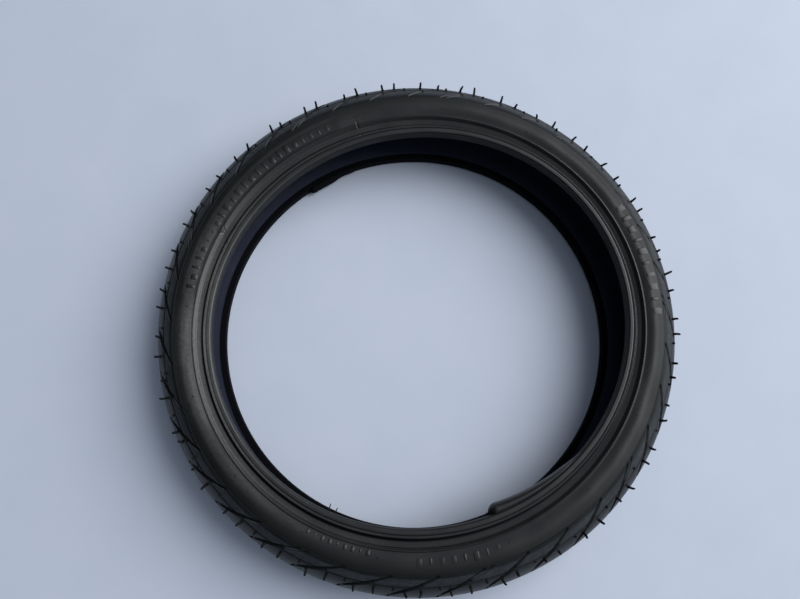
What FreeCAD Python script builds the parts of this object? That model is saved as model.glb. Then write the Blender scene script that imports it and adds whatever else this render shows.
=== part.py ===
"""Bicycle tyre for a 305 mm bead seat, off its rim and lying flat.

Frame: the tyre's axis is +Z and the origin is its centre, on the plane half way between the beads.
Every layer follows one casing line in the (radius, height) plane: crown arc, side arc, straight flank,
then round the bead and out again as the turn-up.
"""

import FreeCAD, Part
import os
import Sketcher
from math import atan2
from FreeCAD import Placement, Rotation, Vector

SIZES = {
    # casing line
    "crown_centre": 162,
    "crown_arc": 34,
    "crown_angle": 30,
    "side_arc": 18.2,
    "side_angle": 105,
    # layers
    "ply": 0.5,
    "play": 0.05,
    "skin": 0.9,
    "chafer": 0.55,
    # beads
    "seat_radius": 152.5,
    "bead_face": 26.6,
    "turn_up": 158,
    "chafer_edge": 156.6,
    "chafer_inner_edge": 157.5,
    "heel_round": 1.8,
    "wire": 0.96,
    "wire_pitch": 0.99,
    "wires_across": 3,
    # sidewall outline
    "groove_radius": 160,
    "groove_floor": 1,
    "rim_line_radius": 166.5,
    "rim_line_width": 1.2,
    "rim_line_rise": 0.5,
    # tread
    "outer_radius": 200,
    "tread_centre": 171.6,
    "tread_edge_angle": 62,
    "tread_edge_height": 25.1,
    "pitches": 36,
    "cut_depth": 2,
    "cut_width": 2.2,
    "cut_bend": 15,
    "cut_lead": 9,
    "cut_tilt": 34,
    "cut_inner_end": 9,
    "cut_outer_end": 12,
    "cut_flare": 6,
    # moulding hairs, pips and laps
    "hair_root": 0.7,
    "hair_tip": 0.45,
    "hair_length": 4.8,
    "hair_gap": 3.7,
    "hair_lean": 40,
    "bead_hair_drop": 0.9,
    "bead_hair_inset": 0.25,
    "pips": 16,
    "pip_radius": 0.5,
    "pip_rise": 0.7,
    "pip_taper": 0.8,
    "lap_thick": 1.2,
    "lap_reach": 5,
    "lap_span": 27,
    "lap_nose": 1.2,
    "lap_root": 1.5,
    # raised marks
    "mark_rise": 0.35,
    "mark_width": 1.2,
    "mark_step": 2.6,
    "mark_low": 70,
    "mark_high": 92,
}

# Places round the tyre, in degrees from +X towards +Y.
MARK_GROUPS = [(6, 12), (123, 22), (249, 6), (275, 7)]
BEAD_HAIRS = [207, 251, 252.6, 291, 337]
UPPER_LAP_START = 294
LOWER_LAP_START = 134

doc = FreeCAD.newDocument("bicycle_tyre")
sheet = doc.addObject("Spreadsheet::Sheet", "Sizes")
for row, (name, size) in enumerate(SIZES.items(), start=1):
    sheet.set(f"A{row}", name)
    sheet.set(f"B{row}", str(size))
    sheet.setAlias(f"B{row}", name)
doc.recompute()


def worth(text):
    """The number that an expression on the sheet gives, in millimetres or degrees."""
    answer = sheet.evalExpression(text)
    return float(getattr(answer, "Value", answer))


def cell(name):
    return f"Sizes.{name}"


# Expressions shared by the sections. A layer's "off" is its distance outside the casing line.
SIDE_R = "(Sizes.crown_centre + (Sizes.crown_arc - Sizes.side_arc) * cos(Sizes.crown_angle))"
SIDE_Z = "((Sizes.crown_arc - Sizes.side_arc) * sin(Sizes.crown_angle))"
STACK = "(2 * Sizes.ply + 3 * Sizes.play + Sizes.chafer)"
FOLD_R = f"(Sizes.seat_radius + {STACK})"
FOLD_Z = f"(Sizes.bead_face - {STACK})"


def on_side(angle, off="0"):
    """A point on the side arc, or off it, at an angle from the wheel plane."""
    reach = f"(Sizes.side_arc + {off})"
    return (f"{SIDE_R} + {reach} * cos({angle})", f"{SIDE_Z} + {reach} * sin({angle})")


def on_flank(radius, off="0"):
    """The point on the straight flank, or off it, at a distance from the tyre's axis."""
    r, z = on_side("Sizes.side_angle", off)
    slope = "tan(Sizes.side_angle - 90)"
    return (radius, f"({z}) - (({r}) - ({radius})) * {slope}")


def plane_of(body, role):
    return next(part for part in body.Origin.OriginFeatures if part.Role == role)


def new_body(label):
    body = doc.addObject("PartDesign::Body", label)
    body.Label = label
    return body


def new_sketch(body, name, role="XZ_Plane", offset=Placement()):
    sketch = body.newObject("Sketcher::SketchObject", name)
    sketch.AttachmentSupport = [(plane_of(body, role), "")]
    sketch.MapMode = "FlatFace"
    sketch.AttachmentOffset = offset
    return sketch


def arc_between(start, end, radius):
    """An arc of the given radius; a positive radius bends to the left of start to end."""
    chord = end - start
    half = chord.Length / 2
    lift = (radius * radius - half * half) ** 0.5
    left = Vector(-chord.y, chord.x).normalize()
    centre = (start + end) / 2 + left * (lift if radius > 0 else -lift)
    circle = Part.Circle(centre, Vector(0, 0, 1), abs(radius))
    first, last = (start, end) if radius > 0 else (end, start)
    turn = [atan2(spot.y - centre.y, spot.x - centre.x) for spot in (first, last)]
    return Part.ArcOfCircle(circle, turn[0], turn[1])


def draw(sketch, corners, closed=True):
    """Draws an outline. A corner is (x, y) or (x, y, radius), where the radius bends the next edge."""
    spots = [Vector(worth(corner[0]), worth(corner[1])) for corner in corners]
    count = len(corners) if closed else len(corners) - 1
    ends = []
    for number in range(count):
        start, end = spots[number], spots[(number + 1) % len(spots)]
        if len(corners[number]) == 2:
            edge = sketch.addGeometry(Part.LineSegment(start, end))
            ends.append((edge, 1, 2))
            continue
        radius = worth(corners[number][2])
        edge = sketch.addGeometry(arc_between(start, end, radius))
        ends.append((edge, 1, 2) if radius > 0 else (edge, 2, 1))
        size = corners[number][2] if radius > 0 else f"-({corners[number][2]})"
        row = sketch.addConstraint(Sketcher.Constraint("Radius", edge, abs(radius)))
        sketch.setExpression(f"Constraints[{row}]", size)
    for number in range(count):
        edge, first, last = ends[number]
        pin(sketch, edge, first, corners[number], spots[number])
        if number + 1 < count or closed:
            follower = ends[(number + 1) % count]
            sketch.addConstraint(Sketcher.Constraint("Coincident", edge, last, follower[0], follower[1]))
    if not closed:
        pin(sketch, ends[-1][0], ends[-1][2], corners[-1], spots[-1])


def pin(sketch, edge, end, corner, spot):
    """Ties one end of an edge to its place, by expressions measured from the sketch's origin."""
    for kind, text, size in (("DistanceX", corner[0], spot.x), ("DistanceY", corner[1], spot.y)):
        row = sketch.addConstraint(Sketcher.Constraint(kind, -1, 1, edge, end, size))
        sketch.setExpression(f"Constraints[{row}]", text)


def turned_body(label, corners):
    """A ring: one closed section turned all the way round the tyre's axis."""
    body = new_body(label)
    sketch = new_sketch(body, f"{label}_section")
    draw(sketch, corners)
    turn = body.newObject("PartDesign::Revolution", f"{label}_turn")
    turn.Profile = sketch
    turn.ReferenceAxis = (sketch, ["V_Axis"])
    turn.Angle = 360
    doc.recompute()
    return body


def lower_copy(source, label):
    """The same piece on the lower side of the wheel plane."""
    copy = doc.addObject("Part::Mirroring", label)
    copy.Label = label
    copy.Source = source
    copy.Base = Vector()
    copy.Normal = Vector(0, 0, 1)
    return copy


def repeat_round(body, features, name, count, span=360):
    pattern = body.newObject("PartDesign::PolarPattern", name)
    pattern.Originals = features
    pattern.Axis = (plane_of(body, "Z_Axis"), [""])
    pattern.Angle = span
    if isinstance(count, str):
        pattern.setExpression("Occurrences", count)
    else:
        pattern.Occurrences = count
    body.Tip = pattern
    doc.recompute()
    return pattern


def below(corner):
    """The corner of a section mirrored across the wheel plane."""
    return (corner[0], f"-({corner[1]})") + tuple(corner[2:])


# --- Casing: two plies that follow the casing line and turn up round both beads -----------------

def casing_line():
    upper = [
        on_side("Sizes.side_angle"),
        on_flank(FOLD_R),
        (FOLD_R, FOLD_Z),
        (cell("turn_up"), FOLD_Z),
    ]
    shoulder = on_side("Sizes.crown_angle")
    lower = [below(corner) for corner in reversed(upper)]
    corners = lower[:3] + [
        lower[3] + (cell("side_arc"),),
        below(shoulder) + (cell("crown_arc"),),
        shoulder + (cell("side_arc"),),
    ] + upper
    sketch = doc.addObject("Sketcher::SketchObject", "casing_line")
    sketch.Placement = Placement(Vector(), Rotation(Vector(1, 0, 0), 90))
    draw(sketch, corners, closed=False)
    doc.recompute()
    return sketch


def ply(label, line, start):
    """A ply from a distance inside the casing line to one thickness further in."""
    base = line
    if start:
        base = doc.addObject("Part::Offset2D", f"{label}_line")
        base.Source = line
        base.Mode = "Skin"
        base.setExpression("Value", start)
    band = doc.addObject("Part::Offset2D", f"{label}_band")
    band.Source = base
    band.Mode = "Skin"
    band.Fill = True
    band.setExpression("Value", cell("ply"))
    ring = doc.addObject("Part::Revolution", label)
    ring.Label = label
    ring.Source = band
    ring.Axis = Vector(0, 0, 1)
    ring.Angle = 360
    ring.Solid = True
    return ring


casing = casing_line()
outer_ply = ply("outer_ply", casing, None)
inner_ply = ply("inner_ply", casing, "Sizes.ply + Sizes.play")

# --- Beads: hoops of wire, a filler beside them, and a chafer round the outside -----------------

def bead_wires(label):
    body = new_body(label)
    sketch = new_sketch(body, f"{label}_section")
    across = int(SIZES["wires_across"])
    for row in range(across):
        # The last row is one wire short, where the flank leans over the bundle.
        for column in range(across - (row == across - 1)):
            r = f"{FOLD_R} + Sizes.wire / 2 + Sizes.play + {row} * Sizes.wire_pitch"
            z = f"{FOLD_Z} - Sizes.wire / 2 - Sizes.play - {column} * Sizes.wire_pitch"
            centre = Vector(worth(r), worth(z))
            round_wire = Part.Circle(centre, Vector(0, 0, 1), worth("Sizes.wire / 2"))
            edge = sketch.addGeometry(round_wire)
            size = sketch.addConstraint(Sketcher.Constraint("Radius", edge, worth("Sizes.wire / 2")))
            sketch.setExpression(f"Constraints[{size}]", "Sizes.wire / 2")
            pin(sketch, edge, 3, (r, z), centre)
    turn = body.newObject("PartDesign::Revolution", f"{label}_turn")
    turn.Profile = sketch
    turn.ReferenceAxis = (sketch, ["V_Axis"])
    turn.Angle = 360
    doc.recompute()
    return body


def filler_section():
    foot = f"({FOLD_R} + Sizes.wires_across * Sizes.wire_pitch + 2 * Sizes.play)"
    tip = "(Sizes.groove_radius + 0.4)"
    top = f"({FOLD_Z} - Sizes.play)"
    return [
        on_flank(foot, cell("play")),
        on_flank(tip, cell("play")),
        (tip, f"({on_flank(tip, cell('play'))[1]}) + Sizes.ply"),
        (cell("turn_up"), top),
        (foot, top),
    ]


def chafer_section():
    """From the inner face of the casing round the toe, the flat seat and the heel to the outer face."""
    inner = "-(2 * Sizes.ply + 2 * Sizes.play + Sizes.play)"
    far = f"({inner} - Sizes.chafer)"
    seat_back = "(Sizes.seat_radius + Sizes.chafer)"
    face_back = "(Sizes.bead_face - Sizes.chafer)"
    small = "(Sizes.heel_round - Sizes.chafer)"
    edge = cell("chafer_inner_edge")
    return [
        on_flank(edge, far),
        on_flank("Sizes.seat_radius", far),
        (cell("seat_radius"), "Sizes.bead_face - Sizes.heel_round", "-Sizes.heel_round"),
        ("Sizes.seat_radius + Sizes.heel_round", cell("bead_face")),
        (cell("chafer_edge"), cell("bead_face")),
        (cell("chafer_edge"), face_back),
        (f"{seat_back} + {small}", face_back, small),
        (seat_back, f"{face_back} - {small}"),
        on_flank(seat_back, inner),
        on_flank(edge, inner),
    ]


upper_bead_wires = bead_wires("upper_bead_wires")
upper_bead_filler = turned_body("upper_bead_filler", filler_section())
upper_chafer = turned_body("upper_chafer", chafer_section())
lower_copy(upper_bead_wires, "lower_bead_wires")
lower_copy(upper_bead_filler, "lower_bead_filler")
lower_copy(upper_chafer, "lower_chafer")

# --- Sidewall skins, from the chafer's edge to the edge of the tread ----------------------------

def sidewall_section():
    inside = cell("play")
    outside = f"({inside} + Sizes.skin)"
    start = "(Sizes.chafer_edge + Sizes.play)"
    shelf = "(Sizes.turn_up + Sizes.play)"
    shelf_z = f"({FOLD_Z} + 2 * Sizes.ply + 2 * Sizes.play)"
    groove = "(Sizes.groove_radius + Sizes.groove_floor)"
    tip = "(Sizes.groove_radius + 0.5)"
    tip_z = f"({on_flank(tip, cell('play'))[1]}) + Sizes.ply + Sizes.play"
    ridge = cell("rim_line_radius")
    ridge_foot = "(Sizes.rim_line_radius - Sizes.rim_line_width)"
    ridge_top = f"({outside} + Sizes.rim_line_rise)"
    edge = "(Sizes.tread_edge_angle + 0.3)"
    side = cell("side_angle")
    return [
        (start, "Sizes.bead_face"),
        (start, shelf_z),
        (shelf, shelf_z),
        (shelf, f"{FOLD_Z} + 0.02"),
        (tip, tip_z),
        on_flank("(Sizes.groove_radius + 1.6)", inside),
        on_side(side, inside) + (f"-(Sizes.side_arc + {inside})",),
        on_side(edge, inside),
        on_side(edge, outside) + (f"Sizes.side_arc + {outside}",),
        on_side(side, outside),
        on_flank(ridge, ridge_top),
        on_flank(ridge_foot, outside),
        on_flank(groove, outside),
        (f"{shelf} + Sizes.skin", f"{shelf_z} + 0.4"),
    ]


upper_sidewall = turned_body("upper_sidewall", sidewall_section())
lower_copy(upper_sidewall, "lower_sidewall")

# --- Tread cap with its cuts --------------------------------------------------------------------

def tread_section():
    inside = cell("play")
    edge = cell("tread_edge_angle")
    shoulder = on_side("Sizes.crown_angle", inside)
    foot = on_side(edge, inside)
    arc_out = "(Sizes.outer_radius - Sizes.tread_centre)"
    rim_r = f"Sizes.tread_centre + sqrt({arc_out} ^ 2 - Sizes.tread_edge_height ^ 2)"
    rim = (rim_r, cell("tread_edge_height"))
    return [
        below(foot) + (f"Sizes.side_arc + {inside}",),
        below(shoulder) + (f"Sizes.crown_arc + {inside}",),
        shoulder + (f"Sizes.side_arc + {inside}",),
        foot,
        rim + (f"-{arc_out}",),
        below(rim),
    ]


def tilted_plane(tilt, radius, height):
    """An offset from the YZ plane that faces outwards and up by the tilt, through a point of a section."""
    turn = Rotation(Vector(1, 0, 0), -tilt)
    return Placement(Vector(0, height, radius), turn)


def cut_outline():
    """A curved diagonal cut on the shoulder: across the tread and round it, ends open at the edge."""
    lead = cell("cut_lead")
    wide = cell("cut_width")
    inner_end = "-Sizes.cut_inner_end"
    outer_end = cell("cut_outer_end")
    return [
        ("0", outer_end, "Sizes.cut_bend + Sizes.cut_width"),
        (f"-{lead} - {wide} * 0.6", inner_end),
        (f"-{lead} + {wide} * 0.4", inner_end, "-(Sizes.cut_bend + Sizes.cut_flare)"),
        (wide, outer_end),
    ]


def tread_body():
    body = turned_body("tread_cap", tread_section())
    blank = body.Shape.Volume
    tilt = worth(cell("cut_tilt"))
    reach = worth("Sizes.outer_radius - Sizes.tread_centre")
    radius = worth(f"Sizes.tread_centre + {reach} * cos({tilt})")
    height = worth(f"{reach} * sin({tilt})")
    sketch = new_sketch(body, "cut_outline", "YZ_Plane", tilted_plane(tilt, radius, height))
    draw(sketch, cut_outline())
    cut = body.newObject("PartDesign::Pocket", "cut")
    cut.Profile = sketch
    cut.setExpression("Length", cell("cut_depth"))
    doc.recompute()
    one_cut = blank - body.Shape.Volume
    both_sides = body.newObject("PartDesign::Mirrored", "both_sides")
    both_sides.MirrorPlane = (plane_of(body, "XY_Plane"), [""])
    all_round = body.newObject("PartDesign::PolarPattern", "all_round")
    all_round.Axis = (plane_of(body, "Z_Axis"), [""])
    all_round.Angle = 360
    all_round.setExpression("Occurrences", cell("pitches"))
    cuts = body.newObject("PartDesign::MultiTransform", "cuts")
    cuts.Originals = [cut]
    cuts.Transformations = [both_sides, all_round]
    body.Tip = cuts
    doc.recompute()
    all_cuts = blank - body.Shape.Volume
    print(f"tread: one cut takes {one_cut:.1f} mm3, all of them {all_cuts:.0f} of {blank:.0f}")
    return body


tread_cap = tread_body()

# --- Hairs, pips and laps left by the mould -----------------------------------------------------

def stand(body, name, spot, way, root, tip, length):
    """A tapered round hair that stands on a spot and points along a direction."""
    hair = body.newObject("PartDesign::AdditiveCone", name)
    hair.setExpression("Radius1", root)
    hair.setExpression("Radius2", tip)
    hair.setExpression("Height", length)
    hair.Placement = Placement(spot, Rotation(Vector(0, 0, 1), way))
    doc.recompute()
    return hair


def section_spot(r, z, turn):
    """A point of the section turned round the axis by an angle in degrees."""
    return Rotation(Vector(0, 0, 1), turn).multVec(Vector(r, 0, z))


def tread_spews(label):
    """Two hairs to a pitch, on the tread's edge face, pointing outwards and up."""
    body = new_body(label)
    lean = cell("hair_lean")
    off = "(Sizes.outer_radius - Sizes.tread_centre + 2 * Sizes.play)"
    r = worth(f"Sizes.tread_centre + {off} * cos({lean})")
    z = worth(f"{off} * sin({lean})")
    hairs = []
    for number, turn in enumerate((0, worth(cell("hair_gap")))):
        spot = section_spot(r, z, turn)
        way = section_spot(worth(f"cos({lean})"), worth(f"sin({lean})"), turn)
        size = ("Sizes.hair_root", "Sizes.hair_tip", "Sizes.hair_length")
        hairs.append(stand(body, f"hair_{number + 1}", spot, way, *size))
    repeat_round(body, hairs, f"{label}_round", cell("pitches"))
    return body


def sidewall_pips(label):
    """Short pips on the sidewall, just outside the rim line."""
    body = new_body(label)
    off = "(Sizes.skin + 2 * Sizes.play)"
    angle = "(Sizes.side_angle - 6)"
    r, z = (worth(text) for text in on_side(angle, off))
    way = Vector(worth(f"cos({angle})"), 0, worth(f"sin({angle})"))
    size = (cell("pip_radius"), cell("pip_radius"), cell("pip_rise"))
    pip = stand(body, "pip", Vector(r, 0, z), way, size[0], f"{size[1]} * Sizes.pip_taper", size[2])
    repeat_round(body, [pip], f"{label}_round", cell("pips"))
    return body


def bead_hairs(label):
    """A few hairs on the inner edge of the upper bead, pointing to the axis and a little down."""
    body = new_body(label)
    foot = on_flank("Sizes.seat_radius", f"-({STACK} + 2 * Sizes.play)")
    r = worth("Sizes.seat_radius - Sizes.bead_hair_inset")
    z = worth(foot[1]) + worth("Sizes.chafer - Sizes.bead_hair_drop")
    size = ("Sizes.hair_root / 2", "Sizes.hair_tip / 2", cell("hair_length"))
    for number, turn in enumerate(BEAD_HAIRS):
        spot = section_spot(r, z, turn)
        way = section_spot(-1, -worth("Sizes.bead_hair_inset"), turn)
        stand(body, f"hair_{number + 1}", spot, way, *size)
    return body


def bead_lap(label, start, side):
    """The free end of a chafer's lap: a thin tongue under the toe, widest at one end."""
    body = new_body(label)
    toe = worth(on_flank("Sizes.seat_radius", f"-({STACK})")[1]) - worth("8 * Sizes.play")
    thick = worth(cell("lap_thick"))
    flip = Rotation(Vector(1, 0, 0), 0 if side > 0 else 180)
    turn = Placement(Vector(0, 0, side * (toe - thick)), Rotation(Vector(0, 0, 1), start) * flip)
    sketch = new_sketch(body, f"{label}_outline", "XY_Plane", turn)
    inner = "(Sizes.seat_radius - Sizes.lap_reach)"
    outer = "(Sizes.seat_radius + Sizes.lap_root)"
    edge = "(Sizes.seat_radius - 4 * Sizes.play)"
    nose = cell("lap_nose")
    span = cell("lap_span")
    draw(sketch, [
        (outer, "0", outer),
        (f"{outer} * cos({span})", f"{outer} * sin({span})"),
        (f"{edge} * cos({span})", f"{edge} * sin({span})", f"-({inner} * 0.8)"),
        (f"{inner} * cos({nose} * 2)", f"{inner} * sin({nose} * 2)"),
        (f"({inner} + Sizes.lap_root) * cos({nose} / 2)", f"({inner} + Sizes.lap_root) * sin({nose} / 2)"),
    ])
    tongue = body.newObject("PartDesign::Pad", f"{label}_tongue")
    tongue.Profile = sketch
    tongue.setExpression("Length", cell("lap_thick"))
    doc.recompute()
    return body


upper_tread_spews = tread_spews("upper_tread_spews")
lower_copy(upper_tread_spews, "lower_tread_spews")
upper_sidewall_pips = sidewall_pips("upper_sidewall_pips")
lower_copy(upper_sidewall_pips, "lower_sidewall_pips")
bead_hairs("upper_bead_hairs")
bead_lap("upper_bead_lap", UPPER_LAP_START, 1)
bead_lap("lower_bead_lap", LOWER_LAP_START, -1)

# --- Raised marks: rows of plain radial bars on the upper sidewall ------------------------------

def sidewall_marks(label):
    body = new_body(label)
    inside = "(Sizes.skin + 2 * Sizes.play)"
    outside = f"({inside} + Sizes.mark_rise)"
    low, high = cell("mark_low"), cell("mark_high")
    for number, (start, count) in enumerate(MARK_GROUPS):
        turned = Placement(Vector(), Rotation(Vector(0, 1, 0), start))
        sketch = new_sketch(body, f"marks_{number + 1}", "XZ_Plane", turned)
        draw(sketch, [
            on_side(low, inside),
            on_side(low, outside) + (f"Sizes.side_arc + {outside}",),
            on_side(high, outside),
            on_side(high, inside) + (f"-(Sizes.side_arc + {inside})",),
        ])
        bar = body.newObject("PartDesign::Revolution", f"bar_{number + 1}")
        bar.Profile = sketch
        bar.ReferenceAxis = (sketch, ["V_Axis"])
        bar.setExpression("Angle", cell("mark_width"))
        doc.recompute()
        span = (count - 1) * SIZES["mark_step"]
        repeat_round(body, [bar], f"row_{number + 1}", count, span)
    return body


sidewall_marks("upper_sidewall_marks")

# --- Check and write ----------------------------------------------------------------------------

NODES = [thing for thing in doc.Objects if thing.isDerivedFrom("PartDesign::Body")]
NODES += [thing for thing in doc.Objects if thing.isDerivedFrom("Part::Mirroring")]
NODES += [outer_ply, inner_ply]

doc.recompute()
for thing in doc.Objects:
    if "Invalid" in thing.State or "Error" in thing.State:
        raise RuntimeError(f"{thing.Label} did not build: {thing.State}")

os.makedirs("parts", exist_ok=True)
for node in NODES:
    if node.Shape.isNull() or not node.Shape.isValid():
        raise RuntimeError(f"{node.Label} has no valid shape")
    node.Shape.exportStep(f"parts/{node.Label}.step")
    print(f"{node.Label}: {len(node.Shape.Solids)} solids, {node.Shape.Volume:.0f} mm3")
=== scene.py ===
# %% [markdown]
# # A small bicycle tyre, off its rim and lying flat
# The tyre is a ring of nineteen pieces: a treaded cap, two sidewall skins, two plies of cord cloth, and two
# beads with their wires, fillers and chafers. Small hairs of rubber are left by the vents of its mould.
# Nearly every piece is one closed section carried round the axis, so one ring builder makes most of them,
# and the same gentle slackness is then given to all, because a tyre off its rim is never truly round.

# %% The fixed frame
import bpy
import numpy as np
from mathutils import Matrix


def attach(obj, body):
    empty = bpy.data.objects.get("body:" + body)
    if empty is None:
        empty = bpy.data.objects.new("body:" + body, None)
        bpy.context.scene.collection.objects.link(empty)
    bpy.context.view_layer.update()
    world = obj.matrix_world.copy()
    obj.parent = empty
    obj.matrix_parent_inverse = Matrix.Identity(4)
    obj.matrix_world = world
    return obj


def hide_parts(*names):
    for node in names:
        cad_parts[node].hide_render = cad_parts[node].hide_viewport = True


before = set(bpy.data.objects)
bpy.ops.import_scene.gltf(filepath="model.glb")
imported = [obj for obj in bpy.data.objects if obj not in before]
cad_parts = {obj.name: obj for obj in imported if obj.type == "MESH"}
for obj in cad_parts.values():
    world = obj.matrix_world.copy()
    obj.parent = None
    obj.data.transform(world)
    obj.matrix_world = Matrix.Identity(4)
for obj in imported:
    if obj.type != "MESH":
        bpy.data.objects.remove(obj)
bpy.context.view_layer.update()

# %% [markdown]
# ## Sizes
# All sizes are millimetres and degrees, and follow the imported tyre's. The section lies in the plane of radius
# and height. Its side is an arc about one centre, and a straight flank leads from there to the bead. The edge
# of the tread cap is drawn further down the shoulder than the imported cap's, where it shows on a real tyre.

# %% Sizes of the section
MM = 0.001
OUTER_RADIUS = 200.0
SEAT_RADIUS = 152.5
TREAD_CENTRE = 171.6
TREAD_ARC = OUTER_RADIUS - TREAD_CENTRE
SIDE_CENTRE = np.array([175.683, 7.9])
SIDE_ARC = 18.2
FLANK_ANGLE = 105.0
CROWN_ANGLE = 30.0
CROWN_CENTRE = 162.0
CROWN_ARC = 34.0
TREAD_EDGE = 70.0
SKIN_IN, SKIN_OUT = 0.05, 0.95
GROUND = -27.05


def on_side(angle, off):
    """Point of the side arc: centre + (arc radius + off) * (cos angle, sin angle)."""
    a = np.radians(angle)
    reach = SIDE_ARC + off
    return np.stack([SIDE_CENTRE[0] + reach * np.cos(a), SIDE_CENTRE[1] + reach * np.sin(a)], -1)


def on_flank(radius, off):
    """Point of the straight flank: it leaves the arc at its tangent and falls 15 degrees towards the axis."""
    start = on_side(FLANK_ANGLE, off)
    radius = np.asarray(radius, float)
    height = start[1] - (start[0] - radius) * np.tan(np.radians(FLANK_ANGLE - 90))
    return np.stack([radius, height], -1)


def ease(low, high, value):
    """0 below low, 1 above high, and 3t^2 - 2t^3 between them."""
    t = np.clip((value - low) / (high - low), 0, 1)
    return t * t * (3 - 2 * t)


print("section spans", on_side(90, SKIN_OUT)[1] * 2, "mm of width")

# %% [markdown]
# ## The slackness of a tyre off its rim
# With no rim and no air the beads take a slightly oval, wandering line. Adding a few slow waves to the
# radius gives that, and one function for all pieces keeps each layer inside the next.

# %% Slackness
# Millimetres of cos t, sin t, cos 2t and sin 2t, with t the way round.
TREAD_WAVES = (0.0, 0.0, -0.5, 0.8)
UPPER_BEAD_WAVES = (1.1, -2.45, 1.7, 4.0)
LOWER_BEAD_WAVES = (-0.8, -4.5, 0.0, 1.0)
BLEND_HEIGHT = 20


def slow_wave(turn, waves):
    """Sum of two waves: c1 cos t + s1 sin t + c2 cos 2t + s2 sin 2t."""
    a = np.radians(turn)
    c1, s1, c2, s2 = waves
    return c1 * np.cos(a) + s1 * np.sin(a) + c2 * np.cos(2 * a) + s2 * np.sin(2 * a)


def slack(turn, radius, height):
    """Radial shift: one slow wave for the tread and one for each bead, blended over the section."""
    out = np.clip((radius - SEAT_RADIUS) / (OUTER_RADIUS - SEAT_RADIUS), 0, 1)
    up = ease(-BLEND_HEIGHT, BLEND_HEIGHT, height)
    beads = up * slow_wave(turn, UPPER_BEAD_WAVES) + (1 - up) * slow_wave(turn, LOWER_BEAD_WAVES)
    return out * slow_wave(turn, TREAD_WAVES) + (1 - out) * beads


def placed(turn, radius, height):
    """Points in space: the slack radius turned about the axis, (r cos t, r sin t, z)."""
    r = radius + slack(turn, radius, height)
    a = np.radians(turn)
    return np.stack([r * np.cos(a), r * np.sin(a), height + 0 * r], -1)


# %% [markdown]
# ## Rings
# A ring is a grid that closes both ways: one direction goes round the axis, the other round the section.
# Sections are drawn as corners and then softened, since moulded rubber has no truly sharp edge. The UV map
# is in metres, so that a thread or a mould line in a material has its real size.

# %% Outlines
WALK_STEP = 0.05
MOST_BEND = 4


def round_off(corners, softness, count, crowding=0.6):
    """Closed outline with soft corners.

    The outline is walked at a small step and blurred by a bell curve of the given softness, which in the
    frequencies is a product with exp(-(frequency * softness)^2 / 2). It is then walked again by count points,
    set closer where it bends: their density is 1 + crowding * bend."""
    loop = np.vstack([corners, corners[:1]])
    steps = np.linalg.norm(np.diff(loop, axis=0), axis=1)
    walk = np.concatenate([[0], np.cumsum(steps)])
    fine = int(walk[-1] / WALK_STEP)
    at = np.linspace(0, walk[-1], fine, endpoint=False)
    line = np.interp(at, walk, loop[:, 0]) + 1j * np.interp(at, walk, loop[:, 1])
    frequency = 2 * np.pi * np.fft.fftfreq(fine, walk[-1] / fine)
    line = np.fft.ifft(np.fft.fft(line) * np.exp(-((frequency * softness) ** 2) / 2))
    tangent = np.fft.ifft(1j * frequency * np.fft.fft(line))
    bend = np.abs(np.gradient(np.unwrap(np.angle(tangent)))) / (walk[-1] / fine)
    density = 1 + crowding * np.minimum(bend, MOST_BEND)
    share = np.concatenate([[0], np.cumsum(density)])
    chosen = np.interp(np.linspace(0, share[-1], count, endpoint=False), share, np.arange(fine + 1))
    ring = np.append(line, line[0])
    r, z = (np.interp(chosen, np.arange(fine + 1), part) for part in (ring.real, ring.imag))
    if np.sum(r * np.roll(z, -1) - np.roll(r, -1) * z) < 0:
        r, z = r[::-1], z[::-1]
    return np.stack([r, z], -1)


def ribs(r_low, r_high, height, count, rise):
    """Corners of a run of small ribs on a face, between two radii: up and down count times."""
    r = np.linspace(r_low, r_high, 2 * count + 1)
    return np.stack([r, height + rise * (np.arange(2 * count + 1) % 2)], -1)


def below(outline):
    """The same outline on the lower side: heights change sign."""
    return outline * [1, -1]


# %% Rings in space
def mesh_piece(name, points, faces, uv=None):
    """A mesh from points in millimetres and lists of corner numbers, smooth all over."""
    mesh = bpy.data.meshes.new(name)
    mesh.from_pydata((points.reshape(-1, 3) * MM).tolist(), [], faces, shade_flat=False)
    if uv is not None:
        layer = mesh.uv_layers.new(name="metres")
        layer.data.foreach_set("uv", uv.astype(np.float32).ravel())
    mesh.validate()
    piece = bpy.data.objects.new(name, mesh)
    bpy.context.scene.collection.objects.link(piece)
    print(name, len(mesh.vertices), "points", len(mesh.polygons), "faces")
    return piece


def set_bloom_and_shade(piece, values):
    """Stores a value at each point for the rubber to read, from 0 to a little over 1: it is higher where the
    rubber is paler, and 0 where shade is painted into grooves and cuts.
    """
    layer = piece.data.attributes.new("bloom_and_shade", "FLOAT", "POINT")
    layer.data.foreach_set("value", np.asarray(values, np.float32).ravel())


def set_point_uv(piece, uv):
    """UV map in metres from one value at each point, given to every corner of the faces."""
    layer = piece.data.uv_layers.new(name="metres")
    corner = np.zeros(len(piece.data.loops), np.int32)
    piece.data.loops.foreach_get("vertex_index", corner)
    layer.data.foreach_set("uv", uv[corner].astype(np.float32).ravel())


def ring_faces(columns, rows, start=0):
    """Corner numbers of a grid that closes both ways, outward for an anticlockwise section."""
    i, j = np.meshgrid(np.arange(columns), np.arange(rows), indexing="ij")
    i2, j2 = (i + 1) % columns, (j + 1) % rows
    corners = np.stack([i * rows + j, i2 * rows + j, i2 * rows + j2, i * rows + j2], -1)
    return start + corners.reshape(-1, 4)


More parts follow.
